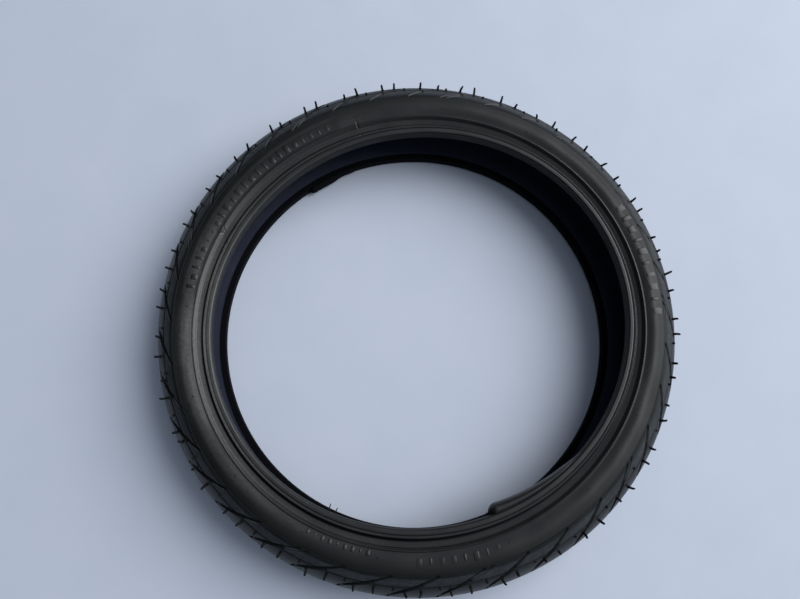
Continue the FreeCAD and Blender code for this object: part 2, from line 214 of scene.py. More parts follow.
def ring(name, turn, radius, height):
    """A closed ring from arrays over (columns, rows). U is the way round, V the way along the section."""
    columns, rows = radius.shape
    points = placed(turn, radius, height)
    section = np.stack([radius[0], height[0]], -1)
    steps = np.linalg.norm(np.roll(section, -1, 0) - section, axis=1)
    v = np.concatenate([[0], np.cumsum(steps)]) * MM
    mean_radius = section[:, 0].mean() * MM
    u = np.radians(np.vstack([turn, turn[:1] + 360])) * mean_radius
    u = np.hstack([u, u[:, :1]])
    v = np.broadcast_to(v, u.shape)
    grid = np.stack([u, v], -1)
    uv = np.stack([grid[:-1, :-1], grid[1:, :-1], grid[1:, 1:], grid[:-1, 1:]], 2)
    return mesh_piece(name, points, ring_faces(columns, rows).tolist(), uv)


def turned(name, outline, turns, lift=None):
    """A section carried round. lift(turn, r, z) moves its points along their outward normals."""
    r, z = outline[:, 0], outline[:, 1]
    ahead = np.roll(outline, -1, 0) - np.roll(outline, 1, 0)
    normal = np.stack([ahead[:, 1], -ahead[:, 0]], -1) / np.linalg.norm(ahead, axis=1, keepdims=True)
    turn = np.repeat(turns[:, None], len(outline), 1)
    radius, height = np.broadcast_to(r, turn.shape), np.broadcast_to(z, turn.shape)
    if lift is not None:
        rise = lift(turn, radius, height)
        radius, height = radius + rise * normal[:, 0], height + rise * normal[:, 1]
    return ring(name, turn, radius, height)


# %% [markdown]
# ## Materials
# Everything outside is carbon-black rubber, moulded hot against a turned steel mould. It is a dark grey
# with a satin gloss, a faint bloom of wax and dust, and the fine grain of the mould. One small function
# adds a node, and the materials differ in their colours, grain and gloss.

# %% Material helpers
def linear(colour):
    """sRGB hex to linear: c/12.92 below 0.04045, else ((c + 0.055)/1.055)^2.4."""
    parts = np.array([int(colour[i:i + 2], 16) for i in (0, 2, 4)]) / 255
    parts = np.where(parts < 0.04045, parts / 12.92, ((parts + 0.055) / 1.055) ** 2.4)
    return (*parts.tolist(), 1.0)


def add(tree, kind, inputs=None, **settings):
    """Adds a node. An input is a value, or another node's output to link from."""
    node = tree.nodes.new(kind)
    for name, value in settings.items():
        setattr(node, name, value)
    for socket, value in (inputs or {}).items():
        if isinstance(value, bpy.types.NodeSocket):
            tree.links.new(value, node.inputs[socket])
        else:
            node.inputs[socket].default_value = value
    return node


def per_metre(size):
    """A texture's scale for features of a size in millimetres."""
    return 1 / (size * MM)


def new_material(name):
    """A material with one Principled shader on its output."""
    material = bpy.data.materials.new(name)
    material.use_nodes = True
    tree = material.node_tree
    tree.nodes.clear()
    shader = add(tree, "ShaderNodeBsdfPrincipled")
    add(tree, "ShaderNodeOutputMaterial", {"Surface": shader.outputs[0]})
    return material, tree, shader


def noise(tree, where, size, detail=3.0, rough=0.55):
    """Cloudy noise whose lumps are about size millimetres."""
    settings = {"Vector": where, "Scale": per_metre(size), "Detail": detail, "Roughness": rough}
    return add(tree, "ShaderNodeTexNoise", settings).outputs[0]


def spread(tree, value, low, high, to_low, to_high):
    """Maps the range low to high of a value onto to_low to to_high."""
    inputs = {0: value, 1: low, 2: high, 3: to_low, 4: to_high}
    return add(tree, "ShaderNodeMapRange", inputs).outputs[0]


# %% Moulded rubber
RUBBER_IOR = 1.52
GRAIN_DEPTH = 0.025
UNDUSTED_ROUGHER = 0.38


def moulded_rubber(name, dark, bloom_and_shade, gloss, patch, grain, line_gap, line_depth, shine=0.4, dusty=0.6):
    """Carbon-black rubber.

    Colour goes from dark to the bloom_and_shade colour in patches with fine specks on them, times the
    bloom_and_shade attribute: higher values give paler rubber, and shade is painted where it falls to 0. Gloss
    is a roughness that wanders with the patches, and is rougher where that attribute is 0. The bump is a grain
    plus the turned mould's lines, a wave along the section."""
    material, tree, shader = new_material(name)
    where = add(tree, "ShaderNodeTexCoord").outputs["Object"]
    flat = add(tree, "ShaderNodeUVMap", uv_map="metres").outputs[0]
    patches = noise(tree, where, patch, 4.0, 0.6)
    specks = noise(tree, where, grain * 2.5, 2.0)
    streaks = add(tree, "ShaderNodeMapping", {"Vector": flat, "Scale": (0.06, 1.0, 1.0)}).outputs[0]
    streaks = noise(tree, streaks, 1.4, 3.0)
    dust = add(tree, "ShaderNodeMath", {0: patches, 1: streaks}, operation="MULTIPLY").outputs[0]
    dust = add(tree, "ShaderNodeMath", {0: dust, 1: specks}, operation="MULTIPLY").outputs[0]
    dust = spread(tree, dust, 0.06, 0.22, 0.45 * dusty, dusty)
    bloom_and_shade_value = add(tree, "ShaderNodeAttribute", attribute_name="bloom_and_shade").outputs["Fac"]
    dust = add(tree, "ShaderNodeMath", {0: dust, 1: bloom_and_shade_value}, operation="MULTIPLY").outputs[0]
    colour = add(tree, "ShaderNodeMix", {0: dust, 6: linear(dark), 7: linear(bloom_and_shade)}, data_type="RGBA")
    tree.links.new(colour.outputs[2], shader.inputs["Base Color"])
    rough = spread(tree, patches, 0.3, 0.7, gloss - 0.06, gloss + 0.09)
    rougher = spread(tree, bloom_and_shade_value, 0, 0.12, UNDUSTED_ROUGHER, 0)
    rough = add(tree, "ShaderNodeMath", {0: rough, 1: rougher}, operation="ADD").outputs[0]
    tree.links.new(rough, shader.inputs["Roughness"])
    shader.inputs["IOR"].default_value = RUBBER_IOR
    shader.inputs["Specular IOR Level"].default_value = shine
    lines = add(tree, "ShaderNodeMapping", {"Vector": flat, "Scale": (0.0, 1.0, 1.0)}).outputs[0]
    wave = {"Vector": lines, "Scale": np.pi / 10 * per_metre(line_gap), "Distortion": 0.6, "Detail": 1.0}
    wave = add(tree, "ShaderNodeTexWave", wave, bands_direction="Y").outputs[1]
    turned_lines = add(tree, "ShaderNodeBump", {"Height": wave, "Distance": line_depth * MM, "Strength": 1.0})
    fine = noise(tree, where, grain, 3.0)
    bump = {"Height": fine, "Distance": GRAIN_DEPTH * MM, "Strength": 0.8, "Normal": turned_lines.outputs[0]}
    bump = add(tree, "ShaderNodeBump", bump).outputs[0]
    tree.links.new(bump, shader.inputs["Normal"])
    return material


# Tread compound: a little rougher and greyer, since chalk and handling dull its ridges.
tread_rubber = moulded_rubber("moulded_tread_rubber", "0C0E0F", "50555A", 0.40, 30, 0.9, 1.1, 0.015, 0.25)
# Sidewall compound: the mould is polished there, so it is smoother, with long soft reflections.
sidewall_rubber = moulded_rubber(
    "moulded_sidewall_rubber", "0D0F10", "5F5E5C", 0.27, 38, 0.8, 0.9, 0.012, 0.36)
# Chafer: a calendered strip, smooth and a little greasy to the eye.
chafer_rubber = moulded_rubber("calendered_chafer_rubber", "0F1011", "5F5E5C", 0.32, 22, 0.7, 0.6, 0.015, 0.4)
# The lower bead and the steep inner wall of the rim groove lie in shade. Their near-black colour is painted
# shade, and they look dull.
shaded_rubber = moulded_rubber("painted_shade_chafer_rubber", "0E0F14", "0E0F14", 0.6, 22, 0.7, 0.6, 0.02, 0.12)
# Bead filler: hard extruded rubber, even and dull.
filler_rubber = moulded_rubber("extruded_bead_filler", "151515", "242424", 0.55, 15, 0.6, 0.8, 0.02)
print("rubbers:", [m.name for m in bpy.data.materials if "rubber" in m.name or "filler" in m.name])

# %% [markdown]
# ### Cord cloth
# A ply is parallel nylon cords pressed into soft rubber, laid at about 45 degrees. From inside the tyre the
# cords show as fine slanting ridges. Real cords lie 0.6 mm apart; they are drawn 1.2 mm apart so that they
# show.

# %% Rubbered cord cloth
def cord_cloth(name, dark, light, angle, gap=1.2):
    """Cords: a sine of the distance across them, in UV metres turned by the angle. Ridges catch the light
    through the bump, and their colour is lighter too, a painted highlight; the colour also varies in patches.
    """
    material, tree, shader = new_material(name)
    where = add(tree, "ShaderNodeTexCoord").outputs["Object"]
    flat = add(tree, "ShaderNodeUVMap", uv_map="metres").outputs[0]
    across = {"Vector": flat, "Rotation": (0, 0, np.radians(angle))}
    across = add(tree, "ShaderNodeMapping", across).outputs[0]
    cords = {"Vector": across, "Scale": np.pi / 10 * per_metre(gap), "Distortion": 0.25, "Detail Scale": 2.0}
    cords = add(tree, "ShaderNodeTexWave", cords).outputs[1]
    patches = noise(tree, where, 20, 4.0)
    shade = add(tree, "ShaderNodeMath", {0: cords, 1: patches}, operation="MULTIPLY").outputs[0]
    colour = add(tree, "ShaderNodeMix", {0: shade, 6: linear(dark), 7: linear(light)}, data_type="RGBA")
    tree.links.new(colour.outputs[2], shader.inputs["Base Color"])
    tree.links.new(spread(tree, patches, 0.3, 0.7, 0.5, 0.7), shader.inputs["Roughness"])
    bump = add(tree, "ShaderNodeBump", {"Height": cords, "Distance": 0.12 * MM, "Strength": 0.7}).outputs[0]
    tree.links.new(bump, shader.inputs["Normal"])
    return material


# The inner cloth is dark in itself; its colour is lighter and bluer than that, painted light standing in for
# the bluish light in the tyre's shaded inside.
inner_cloth = cord_cloth("rubbered_cord_cloth_inner", "34374A", "4A4E60", 45)
outer_cloth = cord_cloth("rubbered_cord_cloth_outer", "101113", "24262A", -45)
print("cloths:", inner_cloth.name, outer_cloth.name)

# %% [markdown]
# ### Bead wire
# Bead wire is drawn steel with a thin bronze coat that makes rubber stick to it. Drawing leaves fine
# streaks along the wire, so the streaks are noise stretched along its length.

# %% Bronzed wire
def bronzed_wire(name):
    """Metal whose roughness follows noise stretched fifty times along the wire."""
    material, tree, shader = new_material(name)
    flat = add(tree, "ShaderNodeUVMap", uv_map="metres").outputs[0]
    long_way = add(tree, "ShaderNodeMapping", {"Vector": flat, "Scale": (0.02, 1.0, 1.0)}).outputs[0]
    streaks = noise(tree, long_way, 0.3, 2.0)
    colour = {0: streaks, 6: linear("9A7B4F"), 7: linear("BFA57A")}
    colour = add(tree, "ShaderNodeMix", colour, data_type="RGBA")
    tree.links.new(colour.outputs[2], shader.inputs["Base Color"])
    tree.links.new(spread(tree, streaks, 0.3, 0.7, 0.25, 0.42), shader.inputs["Roughness"])
    shader.inputs["Metallic"].default_value = 1.0
    return material


bead_steel = bronzed_wire("bronzed_drawn_steel")
print(bead_steel.name)

# %% Handing a piece to the frame
def hand_over(piece, node, material):
    """The piece stands for one CAD node: it takes the material, moves with the one body, and that node is
    hidden.
    """
    piece.data.materials.append(material)
    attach(piece, "root")
    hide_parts(node)


# %% [markdown]
# ## Tread cap
# The cap is one thick moulding with curved diagonal cuts on both shoulders, thirty-six to a turn. Cutting
# them with booleans would leave ragged edges. Instead the grid itself leans with the cuts: its columns
# follow the curve of a cut, so each cut's walls run exactly along grid lines and stay crisp. In every
# fourth pitch the cut forks towards the shoulder and leaves a small pointed block between its arms.

# %% Rows of the tread: angles on its section
PITCHES = 36
PITCH = 360 / PITCHES
CUT_PHASE = 8.6
CUT_SWEEP = 10.0
CUT_START, CUT_DEPTH = 14.0, 2.5
FORK_START = 50.0
FORK_GAP = 6.5
LINE_ANGLE, LINE_DEPTH = 49.6, 0.9
MEAN_RADIUS = 190
FIRST_COLUMN, LAST_COLUMN = -16.6, 17

half = [0, 3, 6, 9, 12, 13.5, 15, 16.5, 18.5, 21, 24, 27, 30, 33, 36, 39, 42, 44.5, 46.5, 47.8, 48.6, 49,
        50.2, 50.6, 51.4, 53, 55, 57, 59, 61, 63, 65, 66.5, 68, 69, 69.6, TREAD_EDGE]
outer_rows = np.array([-a for a in half[:0:-1]] + half)


def tread_outside(angle):
    """Outer line of the cap: the tread arc at the crown, easing into the skin's side arc at the shoulder."""
    a = np.radians(angle)
    arc = np.stack([TREAD_CENTRE + TREAD_ARC * np.cos(a), TREAD_ARC * np.sin(a)], -1)
    side = on_side(np.abs(angle), SKIN_OUT) * np.stack([np.ones_like(a), np.sign(angle)], -1)
    w = ease(46, 66, np.abs(angle))[..., None]
    return (1 - w) * arc + w * side


def tread_inside(angle):
    """Inner line of the cap, on the outer ply: the crown arc up to its end, then the side arc."""
    a = np.radians(angle)
    reach = CROWN_ARC + SKIN_IN
    crown = np.stack([CROWN_CENTRE + reach * np.cos(a), reach * np.sin(a)], -1)
    side = on_side(np.abs(angle), SKIN_IN) * np.stack([np.ones_like(a), np.sign(angle)], -1)
    return np.where((np.abs(angle) <= CROWN_ANGLE)[..., None], crown, side)


inner_rows = np.array([TREAD_EDGE - 0.2, 64, 56, 48, 39, CROWN_ANGLE, 22, 11, 0])
inner_rows = np.concatenate([inner_rows, -inner_rows[-2::-1]])
print(len(outer_rows), "rows outside,", len(inner_rows), "inside")

# %% Columns of the tread: distances from the middle of a cut
FLOOR, WALL, LIP = 1.15, 1.5, 1.8
side_steps = [LIP, 2.6, 4.2, 6.5, 9.5, 13.0]
left = [FIRST_COLUMN] + [-s for s in side_steps[::-1]] + [-WALL, -FLOOR]
plain = np.array(left + [0, FLOOR, WALL] + side_steps)
plain_cut = np.isin(np.abs(plain), [0, FLOOR]).astype(float)
fork_crown = np.array(left + [-0.3, -0.15, -0.05, 0.05, 0.15, 0.3, FLOOR, WALL] + side_steps)
fork_tail = np.array(left + [FLOOR, WALL, 2.0, FORK_GAP - 2.0, FORK_GAP - WALL, FORK_GAP - FLOOR,
                             FORK_GAP + FLOOR, FORK_GAP + WALL, FORK_GAP + LIP, 9.4, 10.4, 11.8, 13.2, 14.8])
fork_crown_cut = np.array([0] * (len(left) - 1) + [1] * 8 + [0] * (1 + len(side_steps)))
fork_tail_cut = np.array([0] * (len(left) - 1) + [1, 1, 0, 0, 0, 0, 1, 1] + [0] * (1 + len(side_steps)))

pitches = [(fork_crown, fork_tail, fork_crown_cut, fork_tail_cut) if number % 4 == 0
           else (plain, plain, plain_cut, plain_cut) for number in range(PITCHES)]
starts = np.concatenate([np.full(len(p[0]), number * PITCH) for number, p in enumerate(pitches)]) + CUT_PHASE
crown_off, tail_off, crown_cut, tail_cut = (np.concatenate([p[k] for p in pitches]) for k in range(4))
print(len(starts), "columns round the tread")


# %% Lean of the cuts
def cut_sweep(angle):
    """How far a cut has turned back from its tail, in degrees: half a cosine wave of the section's angle."""
    t = np.clip((np.abs(angle) - CUT_START) / (TREAD_EDGE - CUT_START), 0, 1)
    return -CUT_SWEEP * (1 + np.cos(np.pi * t ** 1.4)) / 2


def slant(rows):
    """Length of a cut's line over its way across the section: sqrt(1 + (sideways step / step across)^2).

    A cut that leans needs this much more room round the tyre to keep its own width."""
    step = 0.5
    sideways = np.radians(cut_sweep(np.abs(rows) + step) - cut_sweep(np.abs(rows) - step)) * MEAN_RADIUS
    across = np.radians(2 * step) * TREAD_ARC
    return np.sqrt(1 + (sideways / across) ** 2)


def tread_grid():
    """Arrays of turn, radius and height over (columns, rows) for the cap.

    The cuts and the fine line between them are sunk along the normals: depth * (cos, sin) of the row."""
    rows = np.concatenate([outer_rows, inner_rows])
    outside = np.arange(len(rows)) < len(outer_rows)
    section = np.vstack([tread_outside(outer_rows), tread_inside(inner_rows)])
    size = np.abs(rows)[None, :]
    opening = np.clip((size - FORK_START) / (TREAD_EDGE - FORK_START), 0, 1)
    off = crown_off[:, None] * (1 - opening) + tail_off[:, None] * opening
    off = off + (slant(rows)[None, :] - 1) * np.sign(off) * np.where(
        np.abs(off) < LIP, np.abs(off), LIP * (LAST_COLUMN - np.abs(off)) / (LAST_COLUMN - LIP))
    turn = starts[:, None] + cut_sweep(rows)[None, :] + np.degrees(off / MEAN_RADIUS)
    split = ease(FORK_START, FORK_START + 4, size)
    cut = crown_cut[:, None] * (1 - split) + tail_cut[:, None] * split
    depth = CUT_DEPTH * ease(CUT_START - 2, CUT_START + 3, size) * (1 - 0.35 * ease(50, 68, size))
    depth = cut * depth * (1 - ease(67.5, 69.6, size)) * outside
    near = np.abs(off)
    line = (np.abs(size - LINE_ANGLE) < 0.75) & (near > 3.0) & (near < 15) & outside
    depth = np.maximum(depth, LINE_DEPTH * line)
    a = np.radians(np.clip(rows, -66, 66))
    radius = section[:, 0] - depth * np.cos(a)
    height = section[:, 1] - depth * np.sin(a)
    return turn, radius, height


def cut_bloom_and_shade(turn, radius, height):
    """0 in the cuts, by how far a point stands below the cap's outer line, so the cuts are dark: painted shade.
    The ridges get 0.2 of dust, and the shoulder band past the fine line 0.95: painted reflection of the sky
    over the dust.
    """
    rows = np.concatenate([outer_rows, inner_rows])
    top = tread_outside(rows)
    sunk = np.hypot(top[:, 0] - radius, top[:, 1] - height)
    strip = ease(LINE_ANGLE, LINE_ANGLE + 1.5, np.abs(rows)) * (1 - ease(60, 64, np.abs(rows)))
    return (1 - ease(0.1, 0.9, sunk)) * (0.2 + 0.75 * strip)


grid = tread_grid()
tread = ring("tread_cap_moulding", *grid)
set_bloom_and_shade(tread, cut_bloom_and_shade(*grid))
hand_over(tread, "tread_cap", tread_rubber)

# %% [markdown]
# ## Sidewalls
# Each skin runs from the shoulder over the bulge to a fine raised rim line, which a rider uses to see that
# the tyre sits evenly, then over a groove to the top of the bead. Where the strips of rubber were joined
# before moulding, faint creases stay across the bead. They are narrow dents, so the grid has more columns
# there.

# %% Outline of the skin
RIM_LINE = 166.5
GROOVE, GROOVE_INNER = 160.2, 158.8
RIM_RISE, GROOVE_DROP = 0.55, 0.55


def skin_outline():
    """Corners of the skin's section, from the chafer outwards on the casing and back on the outside."""
    arc_in = on_side(np.linspace(FLANK_ANGLE, TREAD_EDGE + 0.3, 12), SKIN_IN)
    arc_out = on_side(np.linspace(TREAD_EDGE + 0.3, FLANK_ANGLE, 24), SKIN_OUT)
    flank = on_flank(np.array([169.0, RIM_LINE + 0.8]), SKIN_OUT)
    line = on_flank(np.array([RIM_LINE + 0.4, RIM_LINE - 0.3]), SKIN_OUT + RIM_RISE)
    foot = on_flank(np.array([RIM_LINE - 0.9, RIM_LINE - 1.4]), SKIN_OUT)
    floor = on_flank(np.array([RIM_LINE - 2.0, GROOVE]), SKIN_OUT - GROOVE_DROP)
    return np.vstack([
        [(156.65, 26.05), (158.05, 26.05), (158.05, 24.9)],
        on_flank(160.5, 0.6)[None], on_flank(161.6, SKIN_IN)[None],
        arc_in, arc_out, flank, line, foot, floor, [(159.3, 23.2), (158.9, 26.3)],
        [(158.6, 26.9), (158.0, 27.05), (157.5, 26.7), (157.1, 26.85), (156.75, 26.6), (156.65, 26.4)],
    ])


CREASES = np.array([114.2, 162.6, 165.2])
CREASE_LEAN = np.array([0.0, 0.35, -0.5])
CREASE_WIDTH, CREASE_DEPTH = 0.22, 0.3
PANEL_DEPTH = 0.35
even = np.arange(0, 360, 0.5)
close = (CREASES[:, None] + np.linspace(-1.2, 1.2, 21)[None, :]).ravel()
upper_turns = np.sort(np.concatenate([even[np.min(np.abs(even[:, None] - CREASES), axis=1) > 1.2], close]))
upper_turns = upper_turns[np.concatenate([[True], np.diff(upper_turns) > 0.02])]


def along(turn, start, end, soft=1.5):
    """1 between two angles and 0 outside them, with soft ends."""
    return ease(start - soft, start + soft, turn) * (1 - ease(end - soft, end + soft, turn))


def upper_relief(turn, r, z):
    """Lift of the upper skin's outside: creases, a sunk panel for marks, and the slow ripple of slack rubber.

    A crease is -depth * exp(-(distance / width)^2). The panel has soft edges. The ripple is three sines."""
    from_centre = np.hypot(r - SIDE_CENTRE[0], z - SIDE_CENTRE[1])
    outer = np.where(r < 170, z > on_flank(r, 0.5)[..., 1], from_centre > SIDE_ARC + 0.5)
    away = [turn - crease - lean * (r - 161) for crease, lean in zip(CREASES, CREASE_LEAN)]
    dent = sum(np.exp(-(distance / CREASE_WIDTH) ** 2) for distance in away)
    creases = -CREASE_DEPTH * dent * ease(157, 158, r) * (1 - ease(167, 170, r))
    panel = -PANEL_DEPTH * along(turn, 120, 182) * ease(167.8, 168.8, r) * (1 - ease(176, 178, r))
    a = np.radians(turn)
    ripple = 0.14 * np.sin(9 * a + 1) + 0.10 * np.sin(17 * a + 2.2) + 0.06 * np.sin(31 * a)
    return outer * (creases + panel + ripple * ease(166, 176, r) * (1 - ease(181, 183, r)))


# %% Both skins
outline = round_off(skin_outline(), 0.13, 92)
WALL_LIFT = 1.2
r, z = outline[:, 0], outline[:, 1]
groove_wall = (r > GROOVE_INNER) & (r < RIM_LINE - 1) & (z > on_flank(r, WALL_LIFT)[:, 1])
# The groove's steep wall gets 0, painted shade there, and the rest of the skin gets 1.
skin_bloom_and_shade = np.where(groove_wall, 0.0, 1.0)
print(groove_wall.sum(), "rows of the skin are on the groove's steep wall or just behind it")

LEAST_DUST, ADDED_PALENESS = 0.12, 1.1
PALEST_TURN, PALE_SPREAD = 192, 30


def paler_side(turn):
    """Least dust all round, and paler rubber towards one side, about 192 degrees round: least + added *
    exp(-(distance / spread)^2).
    """
    return LEAST_DUST + ADDED_PALENESS * np.exp(-(((np.asarray(turn) - PALEST_TURN) / PALE_SPREAD) ** 2))


def shade_groove_wall(skin, wall):
    """The groove's steep inner wall takes the near-black rubber of painted shade. Its floor keeps the
    sidewall's own rubber and dust.
    """
    skin.data.materials.append(shaded_rubber)
    columns = len(skin.data.polygons) // len(wall)
    skin.data.polygons.foreach_set("material_index", np.tile(wall, columns).astype(np.int32))


upper_skin = turned("upper_sidewall_skin", outline, upper_turns, upper_relief)
inward = 1 - 0.7 * ease(173, 178, outline[:, 0])
set_bloom_and_shade(upper_skin, paler_side(upper_turns)[:, None] * (skin_bloom_and_shade * inward)[None, :])
hand_over(upper_skin, "upper_sidewall", sidewall_rubber)
shade_groove_wall(upper_skin, groove_wall)
lower_skin = turned("lower_sidewall_skin", below(outline)[::-1], even)
LOWER_DUST = 0.35
set_bloom_and_shade(lower_skin, np.tile(LOWER_DUST * skin_bloom_and_shade[::-1], len(even)))
hand_over(lower_skin, "lower_sidewall", sidewall_rubber)

# %% [markdown]
# ## Chafers
# A thin hard strip wraps each bead where the rim would rub it: up from the inside, round the toe, along the
# flat seat and over the heel to the bead's face, where it ends under the skin. Its face is finely ribbed.

# %% Chafers
HEEL = (154.3, 24.8)
HEEL_OUTER, HEEL_INNER = 1.8, 1.25
CHAFER_FAR, CHAFER_NEAR = -1.7, -1.15
CHAFER_EDGE = 157.5


def chafer_outline():
    """Corners of the chafer's section: from toe over seat and heel outside, then back along the inside."""
    heel = np.radians(np.linspace(180, 90, 8))
    arc = np.stack([np.cos(heel), np.sin(heel)], -1)
    outer_heel = HEEL + HEEL_OUTER * arc
    inner_heel = HEEL + HEEL_INNER * arc[::-1]
    return np.vstack([
        on_flank(np.array([CHAFER_EDGE, SEAT_RADIUS]), CHAFER_FAR), outer_heel,
        ribs(154.9, 156.3, 26.6, 1, 0.15), [(156.6, 26.6), (156.6, 26.05)],
        inner_heel, [(153.05, 24.0)], on_flank(np.array([153.05, CHAFER_EDGE]), CHAFER_NEAR),
    ])


outline = round_off(chafer_outline(), 0.1, 72)
upper_chafer = turned("upper_chafer_strip", outline, even)
set_bloom_and_shade(upper_chafer, paler_side(even)[:, None] * ease(24.5, 26.3, outline[:, 1])[None, :])
hand_over(upper_chafer, "upper_chafer", chafer_rubber)
lower_chafer = turned("lower_chafer_strip", below(outline)[::-1], even)
# The lower chafer takes the near-black rubber of painted shade.
hand_over(lower_chafer, "lower_chafer", shaded_rubber)

# %% [markdown]
# ## Casing plies
# The two plies follow the section inside the rubber and turn up round the bead wires. The inner one is the
# dark lining that shows inside the tyre. A ply's section is a line thickened on both sides.

# %% Plies
FOLD = (154.2, 24.9)
TURN_UP = 158.0


def casing_line(off):
    """Half of the casing line, moved in by off: crown arc, side arc, flank, round the bead, and out again."""
    crown = np.radians(np.linspace(0, CROWN_ANGLE, 12))
    arc = np.stack([CROWN_CENTRE + (CROWN_ARC - off) * np.cos(crown), (CROWN_ARC - off) * np.sin(crown)], -1)
    side = on_side(np.linspace(CROWN_ANGLE + 3, FLANK_ANGLE, 26), -off)
    fold_r, fold_z = FOLD[0] - off, FOLD[1] + off
    bead = [on_flank(fold_r, -off), (fold_r, fold_z), (TURN_UP, fold_z)]
    return np.vstack([arc, side, bead])


def ply_outline(off, thick=0.5):
    """Closed section of a ply: the line at one distance, then back one thickness further in."""
    near, far = casing_line(off), casing_line(off + thick)
    near, far = (np.vstack([below(line)[:0:-1], line]) for line in (near, far))
    return np.vstack([near, far[::-1]])


ply_turns = np.arange(0, 360, 1.0)
inner_ply = turned("inner_ply_cloth", round_off(ply_outline(0.55), 0.06, 200), ply_turns)
hand_over(inner_ply, "inner_ply", inner_cloth)
outer_ply = turned("outer_ply_cloth", round_off(ply_outline(0.0), 0.06, 200), ply_turns)
hand_over(outer_ply, "outer_ply", outer_cloth)

# %% [markdown]
# ## Beads
# Eight turns of wire in three rows hold each bead to its rim. They are eight small rings in one mesh.
# Between them and the flank lies a wedge of hard rubber, the filler.

# %% Bead wires
WIRE, WIRE_PITCH, WIRE_CLEAR = 0.96, 0.99, 0.05
COLUMN_METRES, ROW_METRES = 0.004, 0.0003


def wire_hoops(name, side):
    """Circles at the rows' and columns' places, each carried round.

    A circle is r = centre + radius cos a, z = centre + radius sin a."""
    places = [(row, column) for row in range(3) for column in range(3 - (row == 2))]
    around = np.radians(np.arange(0, 360, 36))
    turn = np.repeat(np.arange(0, 360, 1.5)[:, None], len(around), 1)
    points, faces, uv = [], [], []
    for number, (row, column) in enumerate(places):
        r = FOLD[0] + WIRE / 2 + WIRE_CLEAR + row * WIRE_PITCH + WIRE / 2 * np.cos(around)
        z = side * (FOLD[1] - WIRE / 2 - WIRE_CLEAR - column * WIRE_PITCH) + WIRE / 2 * np.sin(around)
        points.append(placed(turn, r + 0 * turn, z + 0 * turn).reshape(-1, 3))
        faces.append(ring_faces(*turn.shape, start=number * turn.size))
        i, j = np.meshgrid(np.arange(turn.shape[0]), np.arange(len(around)), indexing="ij")
        corners = [(i, j), (i + 1, j), (i + 1, j + 1), (i, j + 1)]
        flat = [np.stack([a * COLUMN_METRES, b * ROW_METRES], -1) for a, b in corners]
        uv.append(np.stack(flat, 2).reshape(-1, 2))
    return mesh_piece(name, np.vstack(points), np.vstack(faces).tolist(), np.vstack(uv))


# %% Beads, upper and lower
filler = np.vstack([
    on_flank(np.array([157.4, 159.0, 160.4]), 0.05), on_flank(160.4, 0.55)[None],
    [(158.0, 24.85), (157.4, 24.85)],
])
filler = round_off(filler, 0.1, 28)
for side, label in ((1, "upper"), (-1, "lower")):
    hoops = wire_hoops(f"{label}_bead_wire_hoops", side)
    hand_over(hoops, f"{label}_bead_wires", bead_steel)
    section = filler if side > 0 else below(filler)[::-1]
    wedge = turned(f"{label}_bead_filler_wedge", section, ply_turns)
    hand_over(wedge, f"{label}_bead_filler", filler_rubber)

# %% [markdown]
# ## Laps
# Where the ends of a chafer strip overlap, the free end bulges from the seat in a long smooth swelling,
# with a blunt nose at one end. Its section is an oval whose reach into the opening changes along the bead.

# %% Laps
LAP_ROOT = 0.5
LAP_TILT = 0.12
NOSE_OVERHANG = 0.5


def lap(name, start, end, reach, middle, tall):
    """A swelling on the seat.

    Over (t, p): turn goes from start to end with t, and the section is a slightly tilted oval,
    r = seat - reach(t) (0.45 + 0.55 cos p), z = middle + half the height * shrink(t) * sin p. It shrinks to a
    blunt nose at the start and a thin tail at the end, and both are closed by a fan of triangles."""
    t = np.concatenate([np.linspace(0, 0.12, 16), np.linspace(0.14, 1, 50)])[:, None]
    p = np.radians(np.arange(0, 360, 15))[None, :]
    shrink = np.clip(np.sin(np.pi * np.clip(t, 0, 0.06) / 0.12), 0.02, 1) * (1 - ease(0.7, 1.0, t) * 0.9)
    depth = reach(t)
    overhang = -NOSE_OVERHANG * np.cos(p) * (1 - ease(0, 0.05, t))
    turn = start + (end - start) * t + overhang * np.sign(end - start)
    radius = SEAT_RADIUS + LAP_ROOT - depth * (0.45 + 0.55 * np.cos(p)) * shrink ** 0.5
    height = middle + tall / 2 * shrink * np.sin(p) - LAP_TILT * depth * np.cos(p)
    points = placed(turn, radius, height)
    rows = p.size
    ends = points[[0, -1]].mean(axis=1)
    faces = ring_faces(len(t), rows)[:-rows]
    if end > start:
        faces = faces[:, ::-1]
    first = np.arange(rows)
    pole, far_pole = len(t) * rows, len(t) * rows + 1
    last = (len(t) - 1) * rows + first
    cap = np.stack([first, np.roll(first, -1), np.full(rows, pole)], -1)
    far_cap = np.stack([np.roll(last, -1), last, np.full(rows, far_pole)], -1)
    caps = np.vstack([cap, far_cap])
    caps = caps[:, ::-1] if end > start else caps
    everything = np.vstack([points.reshape(-1, 3), ends])
    piece = mesh_piece(name, everything, faces.tolist() + caps.tolist())
    u = np.append(np.radians(np.broadcast_to(turn, radius.shape)).ravel() * SEAT_RADIUS * MM, [0, 0])
    v = np.append(height.ravel() * MM, [0, 0])
    set_point_uv(piece, np.stack([u, v], -1))
    return piece


def upper_reach(t):
    """Deepest at the nose, then thinner all the way: 7.2 (1 - t)^0.85 + 0.4."""
    return 7.2 * (1 - t) ** 0.85 + 0.4


def lower_reach(t):
    """Even at first, then thinner in two soft steps."""
    return 4.6 - 2.2 * ease(0.35, 0.6, t) - 1.2 * ease(0.75, 1, t)


